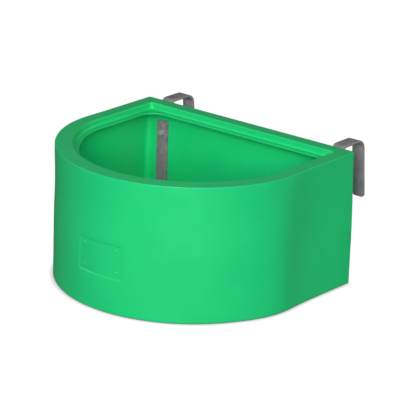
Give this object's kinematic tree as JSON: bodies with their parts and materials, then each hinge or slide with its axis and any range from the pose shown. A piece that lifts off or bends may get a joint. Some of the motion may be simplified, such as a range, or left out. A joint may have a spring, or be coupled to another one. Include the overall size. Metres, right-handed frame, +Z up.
{
  "type": "feed bucket",
  "caption": "D-shaped moulded feed bucket with a wide inturned rim and bolted flat-bar steel hooks that hang it over a fence rail.",
  "frame": {"origin": "bottom centre of the whole part's bounding box, on the underside of the base", "axes": "+X along the flat back wall, +Y out of the back wall towards the rail, so the round front faces -Y, +Z up"},
  "size_m": [0.5292, 0.537, 0.2735],
  "materials": {
    "polyethylene": "satin moulded green polyethylene",
    "galvanised_bar": "dull mottled galvanised",
    "zinc_fastener": "bright zinc plate"
  },
  "bodies": {
    "root": {"bucket_shell": "polyethylene", "hook_left": "galvanised_bar", "hook_right": "galvanised_bar", "inner_strap_left": "galvanised_bar", "inner_strap_right": "galvanised_bar", "bolt_left_upper": "zinc_fastener", "bolt_left_lower": "zinc_fastener", "bolt_right_upper": "zinc_fastener", "bolt_right_lower": "zinc_fastener", "inner_washer_left_upper": "zinc_fastener", "inner_washer_left_lower": "zinc_fastener", "inner_washer_right_upper": "zinc_fastener", "inner_washer_right_lower": "zinc_fastener", "outer_washer_left_upper": "zinc_fastener", "outer_washer_left_lower": "zinc_fastener", "outer_washer_right_upper": "zinc_fastener", "outer_washer_right_lower": "zinc_fastener", "nut_left_upper": "zinc_fastener", "nut_left_lower": "zinc_fastener", "nut_right_upper": "zinc_fastener", "nut_right_lower": "zinc_fastener"}
  },
  "joints": []
}
